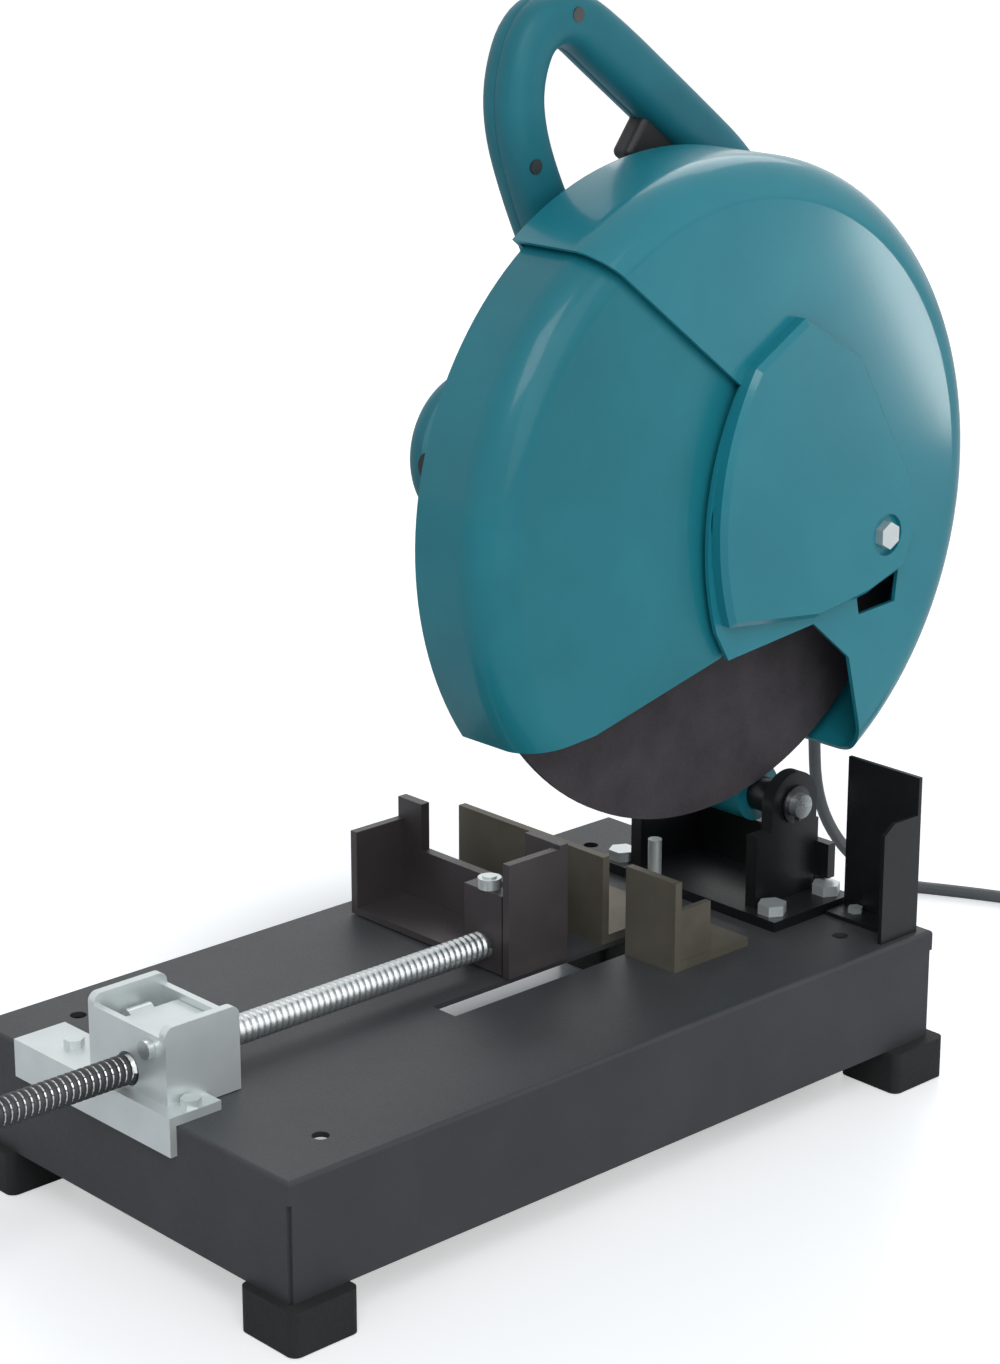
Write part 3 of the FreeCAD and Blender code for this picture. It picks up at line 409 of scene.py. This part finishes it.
def circle_ring(radius: float, count: int = 20) -> list[tuple[float, float]]:
    """A round section's points, in metres."""
    turns = [2 * math.pi * index / count for index in range(count)]
    return [(radius * math.cos(turn), radius * math.sin(turn)) for turn in turns]


def rounded_ring(wide: float, high: float, power: float = 3.2, count: int = 36
                 ) -> list[tuple[float, float]]:
    """Draws a soft-cornered section: a superellipse.

    Args:
        wide: Its width across, in metres.
        high: Its height along the normal, in metres.
        power: How square it is: 2 is an ellipse.
        count: How many points it has.

    Returns:
        The section's points.
    """
    ring = []
    for index in range(count):
        turn = 2 * math.pi * index / count
        c, s = math.cos(turn), math.sin(turn)
        ring.append((math.copysign(abs(c) ** (2 / power), c) * wide / 2,
                     math.copysign(abs(s) ** (2 / power), s) * high / 2))
    return ring


def spline_points(name: str, controls: Sequence[Point], steps: int = 8,
                  cyclic: bool = False) -> list[Vector]:
    """Reads the points of a NURBS spline through its control points' hull.

    Args:
        name: A name for the short-lived curve.
        controls: Control points in metres.
        steps: Points per control.
        cyclic: Whether the spline closes.

    Returns:
        Points along the smooth line.
    """
    curve = bpy.data.curves.new(name, "CURVE")
    curve.dimensions = "3D"
    curve.resolution_u = steps
    spline = curve.splines.new("NURBS")
    spline.points.add(len(controls) - 1)
    for point, place in zip(spline.points, controls):
        point.co = (*place, 1.0)
    spline.use_cyclic_u = cyclic
    spline.order_u = 3
    spline.use_endpoint_u = not cyclic
    holder = bpy.data.objects.new(name, curve)
    mesh = bpy.data.meshes.new_from_object(holder)
    points = [vertex.co.copy() for vertex in mesh.vertices]
    bpy.data.meshes.remove(mesh)
    bpy.data.objects.remove(holder)
    bpy.data.curves.remove(curve)
    kept = [points[0]]
    kept += [point for point in points[1:] if (point - kept[-1]).length > 1e-5]
    return kept


def soften(obj: bpy.types.Object, width_mm: float, angle: float = 30.0) -> None:
    """Rounds an object's sharp edges slightly, so that they catch the light.

    Args:
        obj: The object.
        width_mm: How far each round reaches from its edge.
        angle: The least fold in degrees that counts as an edge.
    """
    bevel = obj.modifiers.new("edge", "BEVEL")
    bevel.width = width_mm * MM
    bevel.segments = 2
    bevel.limit_method = "ANGLE"
    bevel.angle_limit = math.radians(angle)
    bevel.harden_normals = False


def ease(value: float, start: float, end: float) -> float:
    """Rises smoothly from 0 to 1 as a value passes from start to end."""
    share = min(max((value - start) / (end - start), 0.0), 1.0)
    return share * share * (3 - 2 * share)


def middle(node: str) -> Vector:
    """The centre of a construction node's box."""
    low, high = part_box(node)
    return (Vector(low) + Vector(high)) / 2


@dataclass
class SubAssembly:
    """A named group of pieces that one finish book dresses."""

    finishes: Finishes
    nodes: dict[str, bpy.types.Object]

    def coat(self, finish: Finish, *names: str, edge_mm: float = 0.0) -> None:
        """Gives construction nodes a finish.

        Args:
            finish: The finish.
            names: The nodes.
            edge_mm: The width of a small round on their sharp edges, or 0 for none.
        """
        for name in names:
            obj = self.nodes[name]
            self.finishes.dress(obj, finish)
            if edge_mm:
                soften(obj, edge_mm)
            LOG.info("dressed %s in %s", name, finish.name)

    def fit(self, piece: bpy.types.Object, finish: Finish, body: str, slot: str,
            *replaced: str) -> bpy.types.Object:
        """Dresses a new piece and gives it its place in the saw.

        Args:
            piece: The piece.
            finish: Its finish.
            body: The body that it rides on.
            slot: The material slot that it belongs to. Not used.
            replaced: Construction nodes that it stands for.

        Returns:
            The piece.
        """
        self.finishes.dress(piece, finish)
        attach(piece, body)
        if replaced:
            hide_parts(*replaced)
        LOG.info("built %s on %s", piece.name, body)
        return piece


# Studio.

@dataclass(frozen=True)
class Lamp:
    """A soft oblong lamp: place, size and aim in metres, power in watts.

    roll turns it about the line to its aim, in degrees.
    """

    name: str
    place: Point
    size: tuple[float, float]
    power: float
    aim: Point = (0.0, 0.0, 0.25)
    roll: float = 0.0

    def hang(self) -> None:
        """Hangs the lamp in the scene."""
        lamp = bpy.data.lights.new(self.name, "AREA")
        lamp.shape = "RECTANGLE"
        lamp.size, lamp.size_y = self.size
        lamp.energy = self.power
        holder = bpy.data.objects.new(self.name, lamp)
        holder.location = self.place
        facing = (Vector(self.aim) - Vector(self.place)).to_track_quat("-Z", "Y")
        turned = facing @ Quaternion((0, 0, 1), math.radians(self.roll))
        holder.rotation_euler = turned.to_euler()
        bpy.context.scene.collection.objects.link(holder)


@dataclass
class Studio:
    """A pale floor, soft lamps and the camera."""

    eye: Point = (1.191, -1.085, 0.760)
    heading: float = -47.1
    tilt: float = -17.4
    lens_mm: float = 114.6
    sensor_mm: float = 36.0
    lamps: tuple[Lamp, ...] = (
        Lamp("key", (2.3, -1.9, 3.0), (1.8, 1.8), 44.0),
        Lamp("fill", (3.2, -0.2, 1.4), (2.4, 2.4), 16.0),
        Lamp("back", (-1.4, 2.2, 2.6), (2.0, 2.0), 22.0),
        # A low strip whose mirror image lies along the guard's upper right shoulder.
        Lamp("streak", (0.621, 0.964, 0.254), (0.035, 0.21), 0.42,
             aim=(0.056, 0.283, 0.422), roll=25.8))
    sky: str = "#eef7ff"
    sky_strength: float = 0.34
    floor_size: float = 30.0
    floor_height: float = -0.0005
    floor_colour: str = "#f4f5f6"
    floor_roughness: float = 0.32
    # The floor glows to the eye with painted light, which fades to a painted shade round the middle of
    # the saw's shaded side.
    glow: float = 0.5
    painted_shade_middle: Point = (-0.13, 0.14, 0.0)
    painted_shade_reach: tuple[float, float] = (0.10, 0.26)

    def build(self) -> None:
        """Makes the floor, the world, the lamps and the camera."""
        self._floor()
        self._world()
        for lamp in self.lamps:
            lamp.hang()
        self._camera()
        LOG.info("built the studio")

    def _floor(self) -> None:
        """A wide pale floor that keeps the saw's shadow, with a painted glow and a painted shade."""
        half = self.floor_size / 2
        corners = [(x, y, self.floor_height)
                   for x, y in ((-half, -half), (half, -half), (half, half), (-half, half))]
        floor = new_mesh("floor", corners, [(0, 1, 2, 3)])
        graph = Graph("painted_floor")
        graph.shader.inputs["Base Color"].default_value = linear(self.floor_colour)
        graph.shader.inputs["Roughness"].default_value = self.floor_roughness
        place = graph.add("TexCoord").outputs["Object"]
        # Painted shade: the painted glow fades out near the middle of the saw's shaded side.
        apart = graph.add("VectorMath", {0: place}, {1: self.painted_shade_middle}, operation="DISTANCE")
        glow = graph.add("MapRange", {"Value": apart.outputs["Value"]},
                         {"From Min": self.painted_shade_reach[0], "From Max": self.painted_shade_reach[1],
                          "To Max": self.glow}, interpolation_type="SMOOTHSTEP")
        white = graph.add("Emission", {"Strength": glow.outputs[0]}, {"Color": WHITE})
        nothing = graph.add("Emission", values={"Strength": 0.0})
        rays = graph.add("LightPath").outputs
        seen = graph.add("MixShader", {0: rays["Is Camera Ray"], 1: nothing.outputs[0],
                                       2: white.outputs[0]})
        lit = graph.add("AddShader", {0: graph.shader.outputs[0], 1: seen.outputs[0]})
        graph.tree.links.new(lit.outputs[0], graph.output.inputs[0])
        floor.data.materials.append(graph.material)

    def _world(self) -> None:
        """A pale sky that is plain white to the eye, in gloss and through glass."""
        world = bpy.data.worlds.new("studio")
        bpy.context.scene.world = world
        world.use_nodes = True
        graph = Nodes(world.node_tree)
        rays = graph.add("LightPath").outputs
        direct = graph.add("Math", {0: rays["Is Camera Ray"], 1: rays["Is Glossy Ray"]},
                           operation="MAXIMUM")
        seen = graph.add("Math", {0: direct.outputs[0], 1: rays["Is Transmission Ray"]},
                         operation="MAXIMUM")
        soft = graph.add("Background",
                         values={"Color": linear(self.sky), "Strength": self.sky_strength})
        white = graph.add("Background", values={"Color": WHITE})
        either = graph.add("MixShader", {0: seen.outputs[0], 1: soft.outputs[0], 2: white.outputs[0]})
        graph.add("OutputWorld", {0: either.outputs[0]})

    def _camera(self) -> None:
        """The camera, to the front right of the saw and above it."""
        camera = bpy.data.cameras.new("camera")
        camera.sensor_fit = "HORIZONTAL"
        camera.sensor_width = self.sensor_mm
        camera.lens = self.lens_mm
        camera.clip_end = 100.0
        holder = bpy.data.objects.new("camera", camera)
        holder.location = self.eye
        turn, rise = math.radians(self.heading), math.radians(self.tilt)
        ahead = Vector((math.cos(rise) * math.sin(turn), math.cos(rise) * math.cos(turn),
                        math.sin(rise)))
        holder.rotation_euler = ahead.to_track_quat("-Z", "Y").to_euler()
        bpy.context.scene.collection.objects.link(holder)
        bpy.context.scene.camera = holder
        bpy.context.scene.view_settings.view_transform = "Standard"


# Sub-assemblies.

@dataclass
class Base(SubAssembly):
    """The pressed pan, its feet, the pivot bracket, the fence and the spark plate."""

    def build(self) -> None:
        """Dresses the base's pieces."""
        self.coat(Finishes.CHARCOAL, "base_frame", edge_mm=0.8)
        self.coat(Finishes.RUBBER, "rubber_feet", edge_mm=1.2)
        self.coat(Finishes.BLACK_ENAMEL, "pivot_bracket", "spark_guard", edge_mm=0.7)
        self.coat(Finishes.ZINC, "foot_screws", "bracket_bolts", "guide_plate_bolts", "stop_bolt",
                  "spark_guard_screws", edge_mm=0.3)
        self.coat(Finishes.STEEL, "pivot_shaft", edge_mm=0.5)
        self.coat(Finishes.SPRING, "torsion_spring", "shaft_clips")
        self.coat(Finishes.IRON, "guide_plate", edge_mm=0.6)


@dataclass
class Vise(SubAssembly):
    """The screw vise on the front of the base."""

    radius_mm: float = 8.0
    lead_mm: float = 4.0
    thread_depth_mm: float = 1.1
    nut_mm: float = -231.0
    points_per_turn: int = 14
    # The thread's section: shares of its lead and of its depth.
    thread_form: tuple[tuple[float, float], ...] = (
        (0.0, 0.0), (0.15, 0.0), (0.4, 1.0), (0.75, 1.0), (1.0, 0.0))
    # The core's plain end, a neck and a button in the jaw: distance from its tip, and radius.
    tail_mm: tuple[tuple[float, float], ...] = ((11.5, 6.0), (6.0, 6.0), (5.5, 8.8), (0.0, 8.8))
    run_out_mm: float = 0.3

    def build(self) -> None:
        """Dresses the vise and cuts the screw's thread."""
        self.coat(Finishes.ZINC, "vise_holder", "vise_holder_bolts", "vise_crank", "vise_nut",
                  edge_mm=0.5)
        self.coat(Finishes.ZINC, "jaw_pin", edge_mm=0.4)
        self.coat(Finishes.STEEL, "vise_nut_pin", edge_mm=0.4)
        self.coat(Finishes.JAW_ENAMEL, "vise_jaw", edge_mm=0.6)
        self.coat(Finishes.NYLON_BLACK, "crank_knob")
        self._screw()

    def _screw(self) -> None:
        """The screw: a darker thread ahead of the nut, a bright one behind it, and a plain tail."""
        low, high = (Vector(corner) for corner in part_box("vise_screw"))
        x, z = (low.x + high.x) / 2, (low.z + high.z) / 2
        lead = self.lead_mm * MM
        end = high.y - self.tail_mm[0][0] * MM
        ahead = int((self.nut_mm * MM - low.y) / lead)
        behind = int((end - low.y) / lead) - 1 - ahead
        darker_front = self._thread("vise_screw_front", x, low.y, z, ahead)
        bright = self._thread("vise_screw_thread", x, low.y + ahead * lead, z, behind)
        root = (self.radius_mm - self.thread_depth_mm) * MM
        stations = [(low.y, root), (end - self.run_out_mm * MM, root)]
        stations += [(high.y - back * MM, radius * MM) for back, radius in self.tail_mm]
        core = swept("vise_screw_core", [Vector((x, y, z)) for y, _ in stations],
                     circle_ring(1.0, 24), [(radius, radius) for _, radius in stations])
        self.fit(bright, Finishes.STEEL, "vise_spinner", "steel", "vise_screw")
        self.fit(darker_front, Finishes.DARKER_STEEL, "vise_spinner", "steel")
        self.fit(core, Finishes.STEEL, "vise_spinner", "steel")

    def _thread(self, name: str, x: float, y: float, z: float, turns: int) -> bpy.types.Object:
        """A trapezoid thread along Y.

        Args:
            name: The piece's name.
            x: The axis, across.
            y: Where the thread starts.
            z: The axis, up.
            turns: How many turns it makes.

        Returns:
            The thread, without its core.
        """
        root = (self.radius_mm - self.thread_depth_mm) * MM
        lead = self.lead_mm * MM
        profile = [(lead * along, root + self.thread_depth_mm * MM * depth)
                   for along, depth in self.thread_form]
        count = turns * self.points_per_turn
        points: list[Point] = []
        for index in range(count + 1):
            turn = 2 * math.pi * index / self.points_per_turn
            start = y + lead * index / self.points_per_turn
            points += [(x + reach * math.cos(turn), start + along, z + reach * math.sin(turn))
                       for along, reach in profile]
        rows = len(profile)
        faces = [(first, first + 1, first + rows + 1, first + rows)
                 for index in range(count) for first in range(index * rows, index * rows + rows - 1)]
        return new_mesh(name, points, faces)


@dataclass
class Guards(SubAssembly):
    """The fixed wheel guard, its cover and the swinging guard."""

    def build(self) -> None:
        """Dresses the guards."""
        self.coat(Finishes.ENAMEL, "wheel_guard", "center_cover", edge_mm=0.8)
        self.coat(Finishes.ENAMEL_WORN, "safety_guard", edge_mm=0.7)
        self.coat(Finishes.ZINC, "guard_screws", "cover_screw", edge_mm=0.3)


@dataclass
class Drive(SubAssembly):
    """The cast arm with its gears, spindle, wheel and motor."""

    def build(self) -> None:
        """Dresses the drive."""
        self.coat(Finishes.ENAMEL, "arm_housing", "motor_housing", edge_mm=1.0)
        self.coat(Finishes.ALUMINIUM, "bearing_box")
        self.coat(Finishes.STEEL, "spindle_bearings", "motor_bearings", "guard_retainer", "spindle",
                  "drive_gear", "inner_flange", "outer_flange", "wheel_bolt", "shaft_lock")
        self.coat(Finishes.ABRASIVE, "abrasive_wheel")
        self.coat(Finishes.NYLON_TEAL, "motor_end_cover", edge_mm=0.8)
        self.coat(Finishes.CORE, "stator", "armature")
        self.coat(Finishes.COPPER, "commutator")
        self.coat(Finishes.CARBON, "carbon_brushes")
        self.coat(Finishes.NYLON_BLACK, "brush_caps", "brush_holders", "cooling_fan", edge_mm=0.5)
        self.coat(Finishes.ZINC, "motor_screws", edge_mm=0.3)


@dataclass
class Handle(SubAssembly):
    """The D-handle: two moulded halves that meet in a fine seam."""

    # Along the loop, seen from the wheel side: rear distance, height and thickness in mm.
    loop_mm: tuple[Point, ...] = (
        (172, 433, 17), (128, 434, 19), (104, 443, 30), (88, 474, 33), (71, 508, 30),
        (60, 538, 29), (59, 564, 28), (70, 590, 29), (96, 596, 30), (126, 575, 33),
        (158, 551, 33), (190, 527, 33), (220, 504, 33), (236, 484, 31), (233, 456, 27),
        (214, 436, 19))
    wide_mm: float = 29.6
    squareness: float = 2.8
    ring_points: int = 40
    points_per_control: int = 7
    # The groove where the halves meet: half its width, and its depth.
    groove_mm: tuple[float, float] = (0.42, 0.504)
    groove_clear_mm: float = 1.2

    def build(self) -> None:
        """Builds the moulded loop and dresses what it holds."""
        self.coat(Finishes.NYLON_BLACK, "trigger", edge_mm=1.0)
        self.coat(Finishes.NYLON_BLACK, "lock_button", "switch_body", edge_mm=0.6)
        self.coat(Finishes.SPRING, "handle_screws", edge_mm=0.3)
        self.coat(Finishes.RUBBER, "strain_relief", edge_mm=0.5)
        self.fit(self._loop(), Finishes.NYLON_TEAL, "head", "teal_plastic", "handle_left",
                 "handle_right")

    def _loop(self) -> bpy.types.Object:
        """Sweeps the handle's section round its loop.

        Returns:
            Both halves as one shell.
        """
        # The seam is a quarter of the whole width from the middle of one half.
        x = middle("handle_left").x + self.wide_mm * MM / 4
        controls = [(x, y * MM, z * MM) for y, z, _ in self.loop_mm]
        sizes = [(size * MM, 0.0, 0.0) for _, _, size in self.loop_mm]
        steps = self.points_per_control
        path = spline_points("handle_line", controls, steps, cyclic=True)
        thick = [point.x for point in spline_points("handle_sizes", self._spread(sizes), steps, True)]
        factors = [(1.0, thick[int(index * len(thick) / len(path))] / self.wide_mm / MM)
                   for index in range(len(path))]
        return swept("handle_shell", path, self._section(), factors, closed=True)

    @staticmethod
    def _spread(sizes: Sequence[Point]) -> list[Point]:
        """Sizes as points that never coincide, so that a spline through them keeps its count."""
        return [(size[0], float(index), 0.0) for index, size in enumerate(sizes)]

    def _section(self) -> list[tuple[float, float]]:
        """Draws the soft-cornered section, with a groove where the halves meet.

        Returns:
            The section's points, in metres.
        """
        wide = self.wide_mm * MM
        whole = rounded_ring(wide, wide, self.squareness, self.ring_points)
        ring = [point for point in whole if abs(point[0]) > self.groove_clear_mm * MM]
        half_groove, depth = (size * MM for size in self.groove_mm)
        section: list[tuple[float, float]] = []
        for point, following in zip(ring, ring[1:] + ring[:1]):
            section.append(point)
            if point[0] * following[0] < 0:
                side = math.copysign(1.0, point[1])
                edge = side * wide / 2
                lean = math.copysign(1.0, point[0])
                section += [(lean * half_groove, edge), (0.0, edge - side * depth),
                            (-lean * half_groove, edge)]
        return section


@dataclass
class MainsLead(SubAssembly):
    """The mains lead: it hangs behind the saw, crosses the floor and ends in a tied coil."""

    # Control points in metres from the strain relief to the coil.
    route: tuple[Point, ...] = (
        (-0.030, 0.286, 0.468), (-0.030, 0.318, 0.468), (-0.030, 0.346, 0.452),
        (-0.031, 0.362, 0.424), (-0.034, 0.363, 0.384), (-0.042, 0.362, 0.332),
        (-0.056, 0.363, 0.276), (-0.074, 0.369, 0.222), (-0.092, 0.382, 0.170),
        (-0.108, 0.400, 0.116), (-0.118, 0.416, 0.058), (-0.102, 0.427, 0.023),
        (-0.073, 0.442, 0.004), (-0.038, 0.463, 0.004), (0.004, 0.484, 0.004),
        (0.048, 0.498, 0.004), (0.090, 0.5067, 0.004))
    landing: int = 9
    diameter: float = 0.008
    # The coil: two layers of three rings, entered at an angle in degrees and turned through.
    centre: tuple[float, float] = (0.108, 0.568)
    radii: tuple[float, float, float] = (0.060, 0.052, 0.044)
    layers: tuple[float, float] = (0.004, 0.012)
    entry: float = -100.0
    turned: float = 1900.0
    points_per_turn: int = 18
    # Degrees turned at which the lead starts to move from one ring to the next, and to climb.
    shifts: tuple[tuple[float, int, int], ...] = (
        (290.0, 0, 1), (650.0, 1, 2), (1240.0, 2, 1), (1600.0, 1, 0))
    climb: float = 950.0
    shift_degrees: float = 70.0
    # From the coil into the plug's sleeve: distance from the operator, and height.
    into_plug: tuple[tuple[float, float], ...] = (
        (0.574, 0.012), (0.584, 0.012), (0.592, 0.0105), (0.602, 0.008), (0.610, 0.008))
    # The tie: its place round the coil in degrees, its middle's height, how high it is and how
    # far its middle line stands off the lead, then its strip's width and thickness.
    tie_degrees: float = 150.0
    tie_middle: float = 0.0089
    tie_high: float = 0.0166
    tie_clear: float = 0.0006
    tie_strip: tuple[float, float] = (0.004, 0.0008)

    def build(self) -> None:
        """Lays the lead as one smooth line and dresses its ends."""
        path = spline_points("lead_line", self._controls(), steps=6)
        lead = swept("mains_lead", path, circle_ring(self.diameter / 2, 14))
        self.finishes.dress(lead, Finishes.SHEATH)
        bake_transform(lead)
        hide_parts("cord_lead", "cord_coil")
        self.coat(Finishes.NYLON_BLACK, "plug_body", edge_mm=0.6)
        self.coat(Finishes.BRASS, "plug_pins", edge_mm=0.4)
        tie = self._tie()
        LOG.info("laid the mains lead, %.3f m", self._length(path))

    def _controls(self) -> list[Point]:
        """Lists the route, the coil's two layers and the way into the plug.

        Returns:
            Control points in metres.
        """
        controls = list(self.route)
        step = 360.0 / self.points_per_turn
        for index in range(round(self.turned / step) + 1):
            radius, height = self._layer(index * step)
            angle = math.radians(self.entry + index * step)
            controls.append((self.centre[0] + radius * math.cos(angle),
                             self.centre[1] + radius * math.sin(angle), height))
        x = self.centre[0] + self.radii[0]
        return controls + [(x, y, z) for y, z in self.into_plug]

    def _layer(self, turned: float) -> tuple[float, float]:
        """Finds where the lead is in the coil: in below, up, then out above.

        Args:
            turned: Degrees turned since it came to the coil.

        Returns:
            Its radius and its height.
        """
        radius = self.radii[0]
        for start, old, new in self.shifts:
            share = ease(turned, start, start + self.shift_degrees)
            radius += (self.radii[new] - self.radii[old]) * share
        low, high = self.layers
        return radius, low + (high - low) * ease(turned, self.climb, self.climb + self.shift_degrees)

    @staticmethod
    def _length(path: Sequence[Vector]) -> float:
        """The length of a line of points."""
        return sum((after - before).length for before, after in zip(path, path[1:]))

    def _tie(self) -> bpy.types.Object:
        """Wraps a twist tie round the coil.

        Returns:
            The tie.
        """
        wide, _, narrow = self.radii
        mid = (wide + narrow) / 2
        half = (wide - narrow) / 2 + self.diameter / 2 + self.tie_clear
        angle = math.radians(self.tie_degrees)
        across = Vector((math.cos(angle), math.sin(angle), 0))
        heart = Vector((*self.centre, 0)) + across * mid + Vector((0, 0, self.tie_middle))
        path = [heart + across * x + Vector((0, 0, y))
                for x, y in rounded_ring(2 * half, self.tie_high, 5.0, 28)]
        strip = rounded_ring(*self.tie_strip, 3.0, 12)
        tie = swept("coil_tie", path, strip, closed=True, up=across)
        self.finishes.dress(tie, Finishes.NYLON_BLACK)
        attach(tie, "base")
        LOG.info("built %s on base", tie.name)
        return tie


def main() -> None:
    """Builds the scene, piece by piece."""
    logging.basicConfig(level=logging.INFO, format="%(message)s")
    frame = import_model()
    finishes = Finishes()
    Studio().build()
    for part in (MainsLead, Base, Vise, Guards, Drive, Handle):
        part(finishes, frame["nodes"]).build()


if __name__ == "__main__":
    main()
